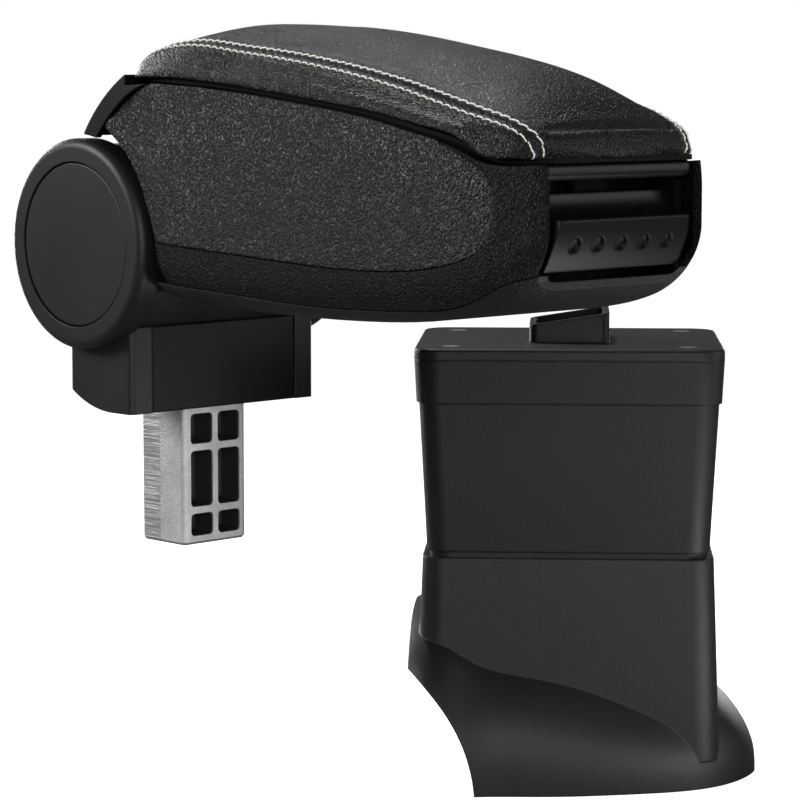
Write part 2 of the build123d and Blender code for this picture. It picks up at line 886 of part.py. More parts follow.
# Lid: the board with its hinge knuckles, the front bar, the liner, the catch and the upholstered pad

with BuildPart() as lid_board:
    add(board_form)
    add(slab(lid_rear, lid_front), mode=Mode.INTERSECT)
    add(lid_band(board_bottom, board_top), mode=Mode.INTERSECT)
    for side in (1, -1):
        with BuildSketch(side_plane.offset(side * (hinge_spread - knuckle_length / 2))):
            with Locations((hinge_ahead, hinge_height)):
                Circle(knuckle_radius)
                Rectangle(
                    lid_rear + knuckle_diameter - hinge_ahead, hinge_arm, align=(Align.MIN, Align.CENTER)
                )
        extrude(amount=side * knuckle_length)
    with BuildSketch(side_plane):
        with Locations((hinge_ahead, hinge_height)):
            Circle(hinge_pin_diameter / 2 + running_fit)
    extrude(amount=wide, both=True, mode=Mode.SUBTRACT)
finish(lid_board, "lid_board")

with BuildPart() as lid_bar:
    with BuildSketch(side_plane):
        with Locations((arm_reach - bar_setback - bar_depth / 2, lid_joint_front - bar_height / 2)):
            RectangleRounded(bar_depth, bar_height, bar_round)
    extrude(amount=bar_width / 2, both=True)
    add(lid_band(board_bottom, wide), mode=Mode.SUBTRACT)
finish(lid_bar, "lid_bar")

liner_rear = tub_rear + tub_wall + liner_gap
liner_front = bulkhead - tub_wall - liner_gap
with BuildPart() as liner_well:
    add(liner_hollow)
    add(slab(liner_rear + liner_wall, liner_front - liner_wall), mode=Mode.INTERSECT)
    add(lid_band(board_bottom - 2 * liner_depth, board_bottom - liner_wall), mode=Mode.INTERSECT)
with BuildPart() as lid_liner:
    add(liner_form)
    add(slab(liner_rear, liner_front), mode=Mode.INTERSECT)
    add(lid_band(board_bottom - liner_depth, board_bottom), mode=Mode.INTERSECT)
    add(liner_well.part, mode=Mode.SUBTRACT)
finish(lid_liner, "lid_liner")

with BuildPart() as lid_catch:
    catch_front = arm_reach - catch_setback + catch_thickness
    with BuildSketch(side_plane):
        with BuildLine():
            Polyline(
                (catch_front - catch_thickness, lid_joint_rear),
                (catch_front, lid_joint_rear),
                (catch_front, catch_foot + 2 * catch_toe + catch_thickness),
                (catch_front + catch_toe, catch_foot + catch_toe + catch_thickness),
                (catch_front + catch_toe, catch_foot),
                (catch_front - catch_thickness, catch_foot),
                close=True,
            )
        make_face()
    extrude(amount=catch_width / 2, both=True)
    add(lid_band(-wide, board_bottom), mode=Mode.INTERSECT)
finish(lid_catch, "lid_catch")

with BuildPart() as lid_pad:
    for along, across, rise, crown in pad_shape:
        ahead = lid_rear + along * lid_length
        base_z = joint_height(ahead) + board_top
        half = half_arm * across
        seam_z = joint_height(ahead) + pad_height * rise
        with BuildSketch(station(ahead)):
            with BuildLine():
                top = Spline(
                    (half, base_z),
                    (half - seam_inset, seam_z),
                    (0, seam_z + pad_crown * crown),
                    (seam_inset - half, seam_z),
                    (-half, base_z),
                    tangents=((0, 1), (0, -1)),
                )
                Polyline(top @ 1, (-half, base_z - pad_height), (half, base_z - pad_height), top @ 0)
            make_face()
    loft()
    add(lid_band(-wide, board_top), mode=Mode.SUBTRACT)
finish(lid_pad, "lid_pad")

with BuildPart() as lid_pin:
    with BuildSketch(side_plane.offset(-hinge_pin_half)):
        with Locations((hinge_ahead, hinge_height)):
            Circle(hinge_pin_diameter / 2)
    extrude(amount=2 * hinge_pin_half)
finish(lid_pin, "lid_pin")

# Latch: the scooped lever with its grip dimples, its pin and its leaf spring

with BuildPart() as latch_lever:
    lever_bottom = lever_top - lever_height
    scoop_back = lever_front - scoop_run
    with BuildSketch(side_plane):
        with BuildLine():
            face = ThreePointArc(
                (lever_front - lever_lean, lever_bottom),
                (lever_front - lever_lean / 2 + lever_bulge, lever_top - lever_height / 2),
                (lever_front, lever_top),
            )
            scoop = ThreePointArc(
                (lever_front - lever_lip, lever_top + lever_lip / 2),
                (lever_front - scoop_run / 2, lever_top - scoop_depth + scoop_rise / 4),
                (scoop_back, lever_top + scoop_rise),
            )
            Line(face @ 1, scoop @ 0)
            Polyline(
                scoop @ 1,
                (scoop_back - lever_back, lever_top + scoop_rise),
                (scoop_back - lever_back, lever_bottom + lever_back),
                (scoop_back - lever_back / 2, lever_bottom),
                face @ 0,
            )
        make_face()
    extrude(amount=half_lever, both=True)
    with BuildSketch(Plane.XY) as lever_plan:
        with Locations((lever_front - hub_setback, 0)):
            Rectangle(lever_front, 2 * half_lever, align=(Align.MAX, Align.CENTER))
        fillet(lever_plan.vertices().group_by(Axis.X)[-1], lever_round)
    extrude(amount=wide, both=True, mode=Mode.INTERSECT)
    face_tilt = atan2(lever_height, lever_lean)
    dimple_plane = Plane(
        origin=(
            lever_front - lever_lean / 2 + lever_bulge - hub_setback,
            0,
            hub_height + lever_top - lever_height / 2,
        ),
        x_dir=(0, 1, 0),
        z_dir=(sin(face_tilt), 0, -cos(face_tilt)),
    )
    dimple_flare = dimple_depth * tan(radians(dimple_draft))
    with BuildSketch(dimple_plane.offset(dimple_depth)):
        with GridLocations(dimple_pitch, 0, dimple_count, 1):
            Circle(dimple_diameter / 2 + dimple_flare)
    extrude(amount=-2 * dimple_depth, taper=dimple_draft, mode=Mode.SUBTRACT)
    with BuildSketch(side_plane):
        with Locations((latch_pin_ahead, latch_pin_height)):
            Circle(latch_pin_diameter / 2 + running_fit)
    extrude(amount=half_lever, both=True, mode=Mode.SUBTRACT)
finish(latch_lever, "latch_lever")

with BuildPart() as latch_pin:
    with BuildSketch(side_plane.offset(-latch_wall_face - latch_wall)):
        with Locations((latch_pin_ahead, latch_pin_height)):
            Circle(latch_pin_diameter / 2)
    extrude(amount=2 * latch_wall_face + 2 * latch_wall)
finish(latch_pin, "latch_pin")

with BuildPart() as latch_spring:
    tip = scoop_back - lever_back - spring_gap
    with BuildSketch(side_plane):
        with BuildLine():
            Polyline(
                (bulkhead, lever_top),
                (bulkhead + spring_thickness, lever_top),
                (bulkhead + spring_thickness, latch_pin_height),
                (tip, lever_bottom + lever_back / 2),
                (tip, lever_bottom + lever_back / 2 - spring_thickness),
                (bulkhead, latch_pin_height - spring_thickness),
                close=True,
            )
        make_face()
    extrude(amount=spring_width / 2, both=True)
finish(latch_spring, "latch_spring")

# Console base: the cap with its socket, the tapered box and the foot with its saddle skirt


def base_outline(drop, shrink):
    corner = base_corner - min(shrink, base_wall)
    with BuildSketch(base_plane.offset(-drop)) as outline:
        RectangleRounded(base_length - 2 * shrink, base_width - 2 * shrink, corner)
    return outline.sketch


upper_inset = rim_taper + rim_step
waist_inset = upper_inset + upper_taper
foot_inset = waist_inset - foot_step
spigot_inset = foot_inset + base_wall + fit
foot_top = upper_height + waist_groove
socket_length = insert_depth + 2 * socket_fit
socket_width = insert_width + 2 * socket_fit
screw_spacing = (base_length - 2 * screw_inset, base_width - 2 * screw_inset)
boss_rib = 2 * screw_inset - 2 * upper_inset - base_wall

with BuildPart() as base_cap:
    with BuildSketch(base_plane.offset(-cap_edge)):
        RectangleRounded(base_length, base_width, base_corner)
    extrude(amount=cap_edge)
    fillet(base_cap.faces().sort_by(Axis.Z)[-1].edges(), cap_edge_round)
    with BuildSketch(base_plane.offset(-insert_length - socket_spare)):
        RectangleRounded(socket_length + 2 * socket_wall, socket_width + 2 * socket_wall, chimney_round)
    extrude(amount=insert_length + socket_spare + chimney_high)
    with BuildSketch(base_side):
        with BuildLine():
            half_chimney = socket_length / 2 + socket_wall
            Polyline(
                (half_chimney, chimney_low),
                (-half_chimney, chimney_high),
                (-half_chimney, 2 * chimney_high),
                (half_chimney, 2 * chimney_high),
                close=True,
            )
        make_face()
    extrude(amount=base_width, both=True, mode=Mode.SUBTRACT)
    with BuildSketch(base_plane.offset(-insert_length)):
        RectangleRounded(socket_length, socket_width, insert_round)
    extrude(amount=insert_length + chimney_high, mode=Mode.SUBTRACT)
    with BuildSketch(base_plane.offset(-cap_edge)):
        with GridLocations(*screw_spacing, 2, 2):
            Circle(screw_diameter / 2 + running_fit)
    extrude(amount=cap_edge, mode=Mode.SUBTRACT)
    with BuildSketch(base_plane.offset(-screw_head_height)):
        with GridLocations(*screw_spacing, 2, 2):
            Circle(screw_head / 2 + fit)
    extrude(amount=cap_edge, mode=Mode.SUBTRACT)
finish(base_cap, "base_cap")

with BuildPart() as base_screws:
    with BuildSketch(base_plane.offset(-screw_head_height)):
        with GridLocations(*screw_spacing, 2, 2):
            Circle(screw_head / 2)
    extrude(amount=screw_head_height)
    with BuildSketch(base_plane.offset(-screw_head_height)):
        with GridLocations(*screw_spacing, 2, 2):
            Circle(screw_diameter / 2)
    extrude(amount=-screw_length)
finish(base_screws, "base_screws")

with BuildPart() as base_box:
    add(loft([base_outline(cap_edge, 0), base_outline(rim_height, rim_taper)], mode=Mode.PRIVATE))
    upper_top = base_outline(rim_height, upper_inset)
    upper_low = base_outline(upper_height, waist_inset)
    add(loft([upper_top, upper_low], mode=Mode.PRIVATE))
    with BuildSketch(base_plane.offset(-foot_top - spigot_depth)):
        RectangleRounded(
            base_length - 2 * spigot_inset, base_width - 2 * spigot_inset, base_corner - base_wall
        )
    extrude(amount=waist_groove + spigot_depth)
    inner_top = base_outline(cap_edge, upper_inset + base_wall)
    inner_low = base_outline(foot_top + spigot_depth, spigot_inset + base_wall)
    add(loft([inner_top, inner_low], mode=Mode.PRIVATE), mode=Mode.SUBTRACT)
    with BuildSketch(base_plane.offset(-cap_edge - boss_length)):
        with GridLocations(*screw_spacing, 2, 2):
            Circle(boss_diameter / 2)
            Rectangle(boss_rib, base_wall)
            Rectangle(base_wall, boss_rib)
            Circle(screw_diameter / 2 + running_fit, mode=Mode.SUBTRACT)
    extrude(amount=boss_length)
finish(base_box, "base_box")


def skirt_form(inset):
    with BuildPart() as skirt:
        for along, across, up in skirt_shape:
            ahead = along * (skirt_front if along > 0 else skirt_tail - inset)
            half = skirt_width / 2 * across - inset
            rise = skirt_top * up - inset
            plane = Plane(
                origin=base_plane.from_local_coords((ahead, 0, -base_height)),
                x_dir=base_plane.y_dir,
                z_dir=base_plane.x_dir,
            )
            arch = []
            power = 2 / skirt_fullness
            for step in range(skirt_steps + 1):
                angle = pi * step / skirt_steps
                reach = abs(cos(angle)) ** power
                arch.append((half * (reach if angle < pi / 2 else -reach), rise * sin(angle) ** power))
            with BuildSketch(plane):
                with BuildLine():
                    over = Spline(*arch, tangents=((0, 1), (0, -1)))
                    Line(over @ 0, over @ 1)
                make_face()
        loft()
    return skirt.part


with BuildPart() as base_foot:
    add(skirt_form(0))
    foot_low = base_outline(base_height - foot_rise, foot_inset - foot_taper)
    add(loft([base_outline(foot_top, foot_inset), foot_low], mode=Mode.PRIVATE))
    add(skirt_form(skirt_wall), mode=Mode.SUBTRACT)
    well_top = base_outline(foot_top, foot_inset + base_wall)
    well_low = base_outline(base_height, foot_inset - foot_taper + base_wall)
    add(loft([well_top, well_low], mode=Mode.PRIVATE), mode=Mode.SUBTRACT)
    with BuildSketch(base_side):
        with Locations((skirt_cut_ahead, -base_height - skirt_cut_drop)):
            Circle(skirt_cut_radius)
    extrude(amount=skirt_width, both=True, mode=Mode.SUBTRACT)
finish(base_foot, "base_foot")
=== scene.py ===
import json
import math

import bpy
import numpy as np
from mathutils import Matrix, Vector


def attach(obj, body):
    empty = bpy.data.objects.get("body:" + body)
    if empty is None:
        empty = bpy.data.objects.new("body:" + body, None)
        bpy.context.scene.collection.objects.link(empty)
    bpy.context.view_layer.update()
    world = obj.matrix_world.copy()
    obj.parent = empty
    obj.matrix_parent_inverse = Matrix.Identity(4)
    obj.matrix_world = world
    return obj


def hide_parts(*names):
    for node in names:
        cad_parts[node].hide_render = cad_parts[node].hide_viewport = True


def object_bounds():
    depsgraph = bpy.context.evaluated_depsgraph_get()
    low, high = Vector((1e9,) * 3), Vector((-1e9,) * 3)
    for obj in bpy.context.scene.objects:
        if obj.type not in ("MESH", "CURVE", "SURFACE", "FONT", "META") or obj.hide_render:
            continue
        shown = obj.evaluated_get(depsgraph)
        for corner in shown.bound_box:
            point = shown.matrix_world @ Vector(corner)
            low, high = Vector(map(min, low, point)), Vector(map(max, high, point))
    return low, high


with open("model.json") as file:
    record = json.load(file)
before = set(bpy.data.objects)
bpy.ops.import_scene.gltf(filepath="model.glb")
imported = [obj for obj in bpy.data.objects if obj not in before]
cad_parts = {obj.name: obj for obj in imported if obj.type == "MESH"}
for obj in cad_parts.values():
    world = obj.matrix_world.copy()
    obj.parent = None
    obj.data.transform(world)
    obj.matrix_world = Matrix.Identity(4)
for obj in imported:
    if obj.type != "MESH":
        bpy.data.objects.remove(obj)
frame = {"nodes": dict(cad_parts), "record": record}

scene = bpy.context.scene
nodes = frame["nodes"]
cadBox = [list(corner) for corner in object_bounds()]
print("frame:", len(nodes), "nodes")

# Shape tables below are in millimetres from the hub's axis; toRow takes them to the row frame
hubAxis = {"x": -5.0, "z": 72.5}
perMetre = 1000.0


def toRow(x, y, z):
    return np.stack(np.broadcast_arrays(x + hubAxis["x"], y, z + hubAxis["z"]), axis=-1) / perMetre


# Camera where the photograph was taken from
camera = {
    "place": (0.9711, -0.8156, 0.1448),
    "azimuth": 45.8,
    "elevation": 6.5,
    "lens": 128.25,
    "sensor": 36.0,
    "near": 0.05,
    "far": 60.0,
}


def placeCamera(view):
    azimuth, elevation = math.radians(view["azimuth"]), math.radians(view["elevation"])
    level = math.cos(elevation)
    right = Vector((math.cos(azimuth), math.sin(azimuth), 0))
    back = Vector((math.sin(azimuth) * level, -math.cos(azimuth) * level, math.sin(elevation)))
    up = back.cross(right)
    data = bpy.data.cameras.new("photoCamera")
    data.lens, data.sensor_width = view["lens"], view["sensor"]
    data.clip_start, data.clip_end = view["near"], view["far"]
    obj = bpy.data.objects.new("photoCamera", data)
    turn = Matrix((right, up, back)).transposed().to_4x4()
    obj.matrix_world = Matrix.Translation(view["place"]) @ turn
    scene.collection.objects.link(obj)
    scene.camera = obj


placeCamera(camera)
print("camera set")


# Shader maths: a wire is one output socket, and sums on wires add Math nodes
class Wire:
    def __init__(self, tree, socket=None):
        self.tree, self.socket = tree, socket

    def node(self, kind, settings=None, inputs=None, out=0):
        made = self.tree.nodes.new(kind)
        for key, value in (settings or {}).items():
            setattr(made, key, value)
        for key, value in (inputs or {}).items():
            if isinstance(value, Wire):
                self.tree.links.new(value.socket, made.inputs[key])
            else:
                made.inputs[key].default_value = value
        return Wire(self.tree, made.outputs[out])

    def sum(self, operation, first, second=0.0):
        return self.node("ShaderNodeMath", {"operation": operation}, {0: first, 1: second})

    def __add__(self, other):
        return self.sum("ADD", self, other)

    def __radd__(self, other):
        return self.sum("ADD", other, self)

    def __sub__(self, other):
        return self.sum("SUBTRACT", self, other)

    def __rsub__(self, other):
        return self.sum("SUBTRACT", other, self)

    def __mul__(self, other):
        return self.sum("MULTIPLY", self, other)

    def __rmul__(self, other):
        return self.sum("MULTIPLY", other, self)

    def __pow__(self, other):
        return self.sum("POWER", self, other)

    def __abs__(self):
        return self.sum("ABSOLUTE", self)

    def ramp(self, low, high):
        # 0 below low, 1 above high, smooth between
        ends = {"Value": self, "From Min": low, "From Max": high}
        return self.node("ShaderNodeMapRange", {"interpolation_type": "SMOOTHSTEP"}, ends)

    def blend(self, dark, light):
        # two colours, or colour wires, mixed by this wire
        ends = [end if isinstance(end, Wire) else (*end, 1) for end in (dark, light)]
        inputs = {"Factor": self, 6: ends[0], 7: ends[1]}  # sockets 6 and 7 are the colours
        return self.node("ShaderNodeMix", {"data_type": "RGBA"}, inputs, out=2)

    def stretch(self, by):
        return self.node("ShaderNodeVectorMath", {"operation": "MULTIPLY"}, {0: self, 1: by})

    def shift(self, other):
        return self.node("ShaderNodeVectorMath", {"operation": "ADD"}, {0: self, 1: other})

    def noise(self, scale, detail=2.0, rough=0.5, out="Fac"):
        inputs = {"Vector": self, "Scale": scale, "Detail": detail, "Roughness": rough}
        return self.node("ShaderNodeTexNoise", None, inputs, out)

    def cells(self, scale, feature="DISTANCE_TO_EDGE"):
        inputs = {"Vector": self, "Scale": scale}
        return self.node("ShaderNodeTexVoronoi", {"feature": feature}, inputs, "Distance")

    def parts(self):
        split = self.node("ShaderNodeSeparateXYZ", None, {0: self})
        return [Wire(self.tree, out) for out in split.socket.node.outputs]

    def bump(self, strength, distance, edge=0.0):
        # relief, over edges rounded by the given radius
        inputs = {"Strength": strength, "Distance": distance, "Height": self}
        if edge:
            inputs["Normal"] = self.node("ShaderNodeBevel", {"samples": 4}, {"Radius": edge})
        return self.node("ShaderNodeBump", None, inputs, "Normal")

    def into(self, shader, name):
        self.tree.links.new(self.socket, shader.inputs[name])


def newFinish(name, **fixed):
    material = bpy.data.materials.new(name)
    material.use_nodes = True
    shader = material.node_tree.nodes["Principled BSDF"]
    for key, value in fixed.items():
        shader.inputs[key.replace("_", " ")].default_value = value
    place = Wire(material.node_tree).node("ShaderNodeTexCoord", out="Object")
    return material, shader, place


def grey(value, tint=0.0):
    return (value, value, value * (1 + tint))


# Leather pebbles of the lid's cover and the bands; the two scales multiply the cell's
pebble = {
    "bendScale": 0.45,
    "coarse": 0.72,
    "coarseRim": 0.32,
    "fineScale": 2.1,
    "fine": 0.28,
    "fineRim": 0.4,
}


def pebbles(place, cell, warp):
    # rounded cells with sunk lines between them
    bend = place.noise(cell * pebble["bendScale"], out="Color").stretch((warp,) * 3)
    bent = place.shift(bend)
    coarse = bent.cells(cell).ramp(0.0, pebble["coarseRim"])
    fine = bent.cells(cell * pebble["fineScale"]).ramp(0.0, pebble["fineRim"])
    return coarse * pebble["coarse"] + fine * pebble["fine"]


leatherGrain = {
    "specular": 0.42,
    "cell": 860,
    "stretch": (1.0, 0.92, 0.72),
    "warp": 0.0011,
    "contrast": 2.5,
    "dark": grey(0.001, 0.03),
    "light": grey(0.020, 0.04),
    "patchScale": 28,
    "patchTone": (0.6, 0.4),
    "rough": 0.40,
    "patchGloss": 0.06,
    "grainGloss": 0.12,
    "slackScale": 55,
    "slack": 0.12,
    "strength": 0.8,
    "depth": 0.00042,
}


def makeLeatherette(look):
    material, shader, place = newFinish("leatherette", Specular_IOR_Level=look["specular"])
    grain = pebbles(place.stretch(look["stretch"]), look["cell"], look["warp"])
    patches = place.noise(look["patchScale"], detail=3.0)
    least, more = look["patchTone"]
    tone = grain ** look["contrast"] * (least + patches * more)
    tone.blend(look["dark"], look["light"]).into(shader, "Base Color")
    rough = look["rough"] - look["patchGloss"] * patches - look["grainGloss"] * grain
    rough.into(shader, "Roughness")
    slack = place.noise(look["slackScale"]) * look["slack"]
    (grain + slack).bump(look["strength"], look["depth"]).into(shader, "Normal")
    return material


panelGrain = {
    "specular": 0.55,
    "cell": 720,
    "stretch": (1.1, 1.0, 0.8),
    "warp": 0.0012,
    "bendScale": 0.6,
    "rim": (0.015, 0.08),
    "dashScale": 1.1,
    "dashRange": (0.50, 0.62),
    # painted glints: how much of the light colour they take, and how much glossier they are
    "paintedGlintTone": 0.92,
    "paintedGlintGloss": 0.12,
    # painted glints: fewer low on the panel, more at its top, where the light falls; from and to are heights
    # in metres
    "paintedGlintByHeight": (0.3, 0.7),
    "paintedGlintFrom": 0.078,
    "paintedGlintTo": 0.128,
    "crumbScale": 2.6,
    "crumbRange": (0.35, 0.8),
    "crumbTone": 0.08,
    # dark is the panel's own colour; light is the colour of the painted glints, and the grain's crumbs reach
    # a little of it
    "dark": grey(0.004),
    "light": grey(0.30),
    "rough": 0.44,
    "hollow": 0.35,
    "hollowRelief": 0.7,
    "crumbRelief": 0.3,
    "strength": 1.0,
    "depth": 0.0009,
    "edge": 0.0016,
}


def makePanel(look):
    # coarse cells whose rims carry painted glints: short light dashes painted into the colour
    material, shader, place = newFinish("speckledPanel", Specular_IOR_Level=look["specular"])
    cell = look["cell"]
    bend = place.noise(cell * look["bendScale"], out="Color").stretch((look["warp"],) * 3)
    rims = place.shift(bend).stretch(look["stretch"]).cells(cell)
    broken = place.noise(cell * look["dashScale"], detail=1.0).ramp(*look["dashRange"])
    # the painted glints grow towards the top, where the light falls
    least, more = look["paintedGlintByHeight"]
    paintedGlintByHeight = least + more * place.parts()[2].ramp(look["paintedGlintFrom"], look["paintedGlintTo"])
    # painted glints: light dashes on broken stretches of the cell rims
    paintedGlint = (1 - rims.ramp(*look["rim"])) * broken * paintedGlintByHeight
    crumb = place.noise(cell * look["crumbScale"])
    tone = paintedGlint * look["paintedGlintTone"] + crumb.ramp(*look["crumbRange"]) * look["crumbTone"]
    tone.blend(look["dark"], look["light"]).into(shader, "Base Color")
    (look["rough"] - look["paintedGlintGloss"] * paintedGlint).into(shader, "Roughness")
    relief = rims.ramp(0.0, look["hollow"]) * look["hollowRelief"] + crumb * look["crumbRelief"]
    relief.bump(look["strength"], look["depth"], look["edge"]).into(shader, "Normal")
    return material


bandGrain = {
    "specular": 0.24,
    "cell": 760,
    "stretch": (1.2, 1.0, 0.7),
    "warp": 0.0012,
    "grainTone": 0.7,
    "patchScale": 40,
    "patchTone": 0.3,
    "dark": grey(0.002),
    "light": grey(0.009),
    "rough": 0.48,
    "grainGloss": 0.1,
    "strength": 0.95,
    "depth": 0.00055,
    "edge": 0.002,
}


def makeBand(look):
    material, shader, place = newFinish("grainedBand", Specular_IOR_Level=look["specular"])
    grain = pebbles(place.stretch(look["stretch"]), look["cell"], look["warp"])
    patches = place.noise(look["patchScale"])
    tone = grain * look["grainTone"] + patches * look["patchTone"]
    tone.blend(look["dark"], look["light"]).into(shader, "Base Color")
    (look["rough"] - look["grainGloss"] * grain).into(shader, "Roughness")
    grain.bump(look["strength"], look["depth"], look["edge"]).into(shader, "Normal")
    return material


# Spark-eroded moulding texture, from nearly smooth to finely grained
moulded = {
    "gritRough": 0.6,
    "gritTone": 0.5,
    "crumbScale": 0.9,
    "crumbRelief": 0.5,
    "cloudScale": 16,
    "cloudTone": 0.5,
    "cloudRough": 0.12,
    "toneRange": (0.25, 0.75),
}
mouldings = {
    "shell_plastic": {
        "name": "texturedUnderside", "cell": 900, "depth": 0.0005, "strength": 0.9,
        "dark": 0.008, "light": 0.024, "rough": 0.52,
    },
    "hub_plastic": {
        "name": "satinHub", "cell": 2600, "depth": 0.00004, "strength": 0.35,
        "dark": 0.012, "light": 0.016, "rough": 0.44,
    },
    "column_plastic": {
        "name": "smoothColumn", "cell": 2600, "depth": 0.00003, "strength": 0.25,
        "dark": 0.004, "light": 0.006, "rough": 0.42, "specular": 0.22,
    },
    # darker than the other plastics: painted shade for the parts inside the recesses
    "inner_plastic": {
        "name": "tubPlastic", "cell": 1400, "depth": 0.0001, "strength": 0.4,
        "dark": 0.002, "light": 0.003, "rough": 0.62, "specular": 0.12,
    },
    "lever_plastic": {
        "name": "satinLever", "cell": 2400, "depth": 0.00004, "strength": 0.3,
        "dark": 0.003, "light": 0.005, "rough": 0.38, "specular": 0.22, "edge": 0.0016,
    },
    "base_plastic": {
        "name": "grainedBase", "cell": 1900, "depth": 0.00012, "strength": 0.6,
        "dark": 0.009, "light": 0.012, "rough": 0.45, "edge": 0.0012,
    },
    "friction_lining": {
        "name": "frictionLining", "cell": 700, "depth": 0.0002, "strength": 0.6,
        "dark": 0.05, "light": 0.12, "rough": 0.8,
    },
    "buffer_rubber": {
        "name": "softRubber", "cell": 1500, "depth": 0.00006, "strength": 0.4,
        "dark": 0.006, "light": 0.009, "rough": 0.75,
    },
}


def makeMoulded(name, cell, depth, strength, dark, light, rough, specular=0.4, edge=0.0008):
    material, shader, place = newFinish(name, Specular_IOR_Level=specular)
    grit = place.noise(cell, detail=3.0, rough=moulded["gritRough"])
    crumb = place.cells(cell * moulded["crumbScale"], "SMOOTH_F1")
    clouds = place.noise(moulded["cloudScale"])
    tone = grit * moulded["gritTone"] + clouds * moulded["cloudTone"]
    tone.ramp(*moulded["toneRange"]).blend(grey(dark), grey(light)).into(shader, "Base Color")
    spread = moulded["cloudRough"]
    (rough - spread / 2 + spread * clouds).into(shader, "Roughness")
    (grit - crumb * moulded["crumbRelief"]).bump(strength, depth, edge).into(shader, "Normal")
    return material


# The plug: milled on its two sides behind the given x, as cast elsewhere, with painted shade in its pockets
castAlloy = {
    "milledBehind": -0.0015,
    "sideways": (0.7, 0.9),
    "soft": 0.0006,
    "scratchStretch": (9, 9, 1900),
    "markStretch": (30, 30, 4200),
    "markRange": (0.50, 0.66),
    "milledTone": (0.6, 0.4),
    "milledRough": (0.30, 0.18),
    "milledRelief": (0.2, 0.15),
    "sandScale": 1500,
    "sandRange": (0.3, 0.7),
    "stainScale": 70,
    "stainRange": (0.35, 0.7),
    "castTone": (0.6, 0.4),
    "castRough": (0.42, 0.2),
    "fineness": 0.7,
    "dull": grey(0.56),
    "bright": grey(0.90, 0.01),
    # painted shade in the pockets, and the walls, faces and end that bound it
    "paintedShade": grey(0.12),
    "wall": 0.0163,
    "face": 0.01475,
    "end": -0.0616,
    "shadeFrom": 0.0004,
    "shadeFull": 0.0012,
    "strength": 0.8,
    "depth": 0.0003,
}


def paintedPocketShade(look, x, y, z):
    # 1 in the pockets, where shade is painted, 0 on the post's outer faces and its end
    wall, face, end = look["wall"], look["face"], look["end"]
    near, deep = look["shadeFrom"], look["shadeFull"]
    inside = (1 - abs(y).ramp(wall - look["soft"], wall)) * (1 - x.ramp(face - deep, face - near))
    return inside * x.ramp(near - face, deep - face) * z.ramp(end + near, end + deep)


def makeAlloy(look):
    material, shader, place = newFinish("castAlloy", Metallic=1.0)
    x, y, z = place.parts()
    facing = place.node("ShaderNodeNewGeometry", out="Normal")
    side = abs(facing.parts()[1]).ramp(*look["sideways"])
    behind, soft = look["milledBehind"], look["soft"]
    milled = (1 - x.ramp(behind - soft, behind + soft)) * side
    cast = 1 - milled
    scratch = place.stretch(look["scratchStretch"]).noise(1.0, detail=4.0, rough=look["fineness"])
    marks = place.stretch(look["markStretch"]).noise(1.0, detail=1.0).ramp(*look["markRange"])
    sand = place.noise(look["sandScale"], detail=3.0, rough=look["fineness"])
    stains = place.noise(look["stainScale"], detail=3.0).ramp(*look["stainRange"])
    fine, coarse = look["milledTone"]
    tone = milled * (scratch * fine + marks * coarse)
    fine, coarse = look["castTone"]
    tone = tone + cast * (sand.ramp(*look["sandRange"]) * fine + stains * coarse)
    outside = tone.blend(look["dull"], look["bright"])
    # painted shade: the pockets' colour darkened towards near black
    paintedPocketShade(look, x, y, z).blend(outside, look["paintedShade"]).into(shader, "Base Color")
    least, more = look["milledRough"]
    rough = milled * (least + more * scratch)
    least, more = look["castRough"]
    (rough + cast * (least + more * sand)).into(shader, "Roughness")
    fine, coarse = look["milledRelief"]
    relief = milled * (scratch * fine + marks * coarse) + cast * sand
    relief.bump(look["strength"], look["depth"]).into(shader, "Normal")
    return material


platedSteel = {
    "lineStretch": (1500, 40, 1500),
    "fineness": 0.7,
    "dull": grey(0.4125),
    "bright": grey(0.55),
    "rough": 0.28,
    "lineRough": 0.15,
}


def makeSteel(look):
    material, shader, place = newFinish("platedSteel", Metallic=1.0)
    lines = place.stretch(look["lineStretch"]).noise(1.0, detail=3.0, rough=look["fineness"])
    lines.blend(look["dull"], look["bright"]).into(shader, "Base Color")
    (look["rough"] + look["lineRough"] * lines).into(shader, "Roughness")
    return material


threadLook = {
    "rough": 0.65,
    "sheen": 0.3,
    # painted light: the thread glows in its own colour
    "paintedGlow": 0.25,
    "fibreScale": 5200,
    "fibreRange": (0.2, 0.7),
    "dark": (0.72, 0.69, 0.62),
    "light": (0.95, 0.94, 0.90),
    "strength": 0.4,
    "depth": 0.0001,
}


def makeThread(look):
    fixed = {"Roughness": look["rough"], "Sheen_Weight": look["sheen"], "Emission_Strength": look["paintedGlow"]}
    material, shader, place = newFinish("sewingThread", **fixed)
    fibre = place.noise(look["fibreScale"])
    shade = fibre.ramp(*look["fibreRange"]).blend(look["dark"], look["light"])
    shade.into(shader, "Base Color")
    # painted light: the thread's colour is also its glow, so it is brighter than its lamps make it
    shade.into(shader, "Emission Color")
    fibre.bump(look["strength"], look["depth"]).into(shader, "Normal")
    return material


finishes = {slot: makeMoulded(**look) for slot, look in mouldings.items()}
finishes["leatherette"] = makeLeatherette(leatherGrain)
finishes["panel_plastic"] = makePanel(panelGrain)
finishes["band_plastic"] = makeBand(bandGrain)
finishes["cast_aluminium"] = makeAlloy(castAlloy)
finishes["steel"] = makeSteel(platedSteel)
thread = makeThread(threadLook)
slotOf = {part["node"]: part["material_slot"] for part in frame["record"]["subparts"]}
for name, obj in nodes.items():
    obj.data.materials.clear()
    obj.data.materials.append(finishes[slotOf[name]])
print("finishes:", len(finishes))


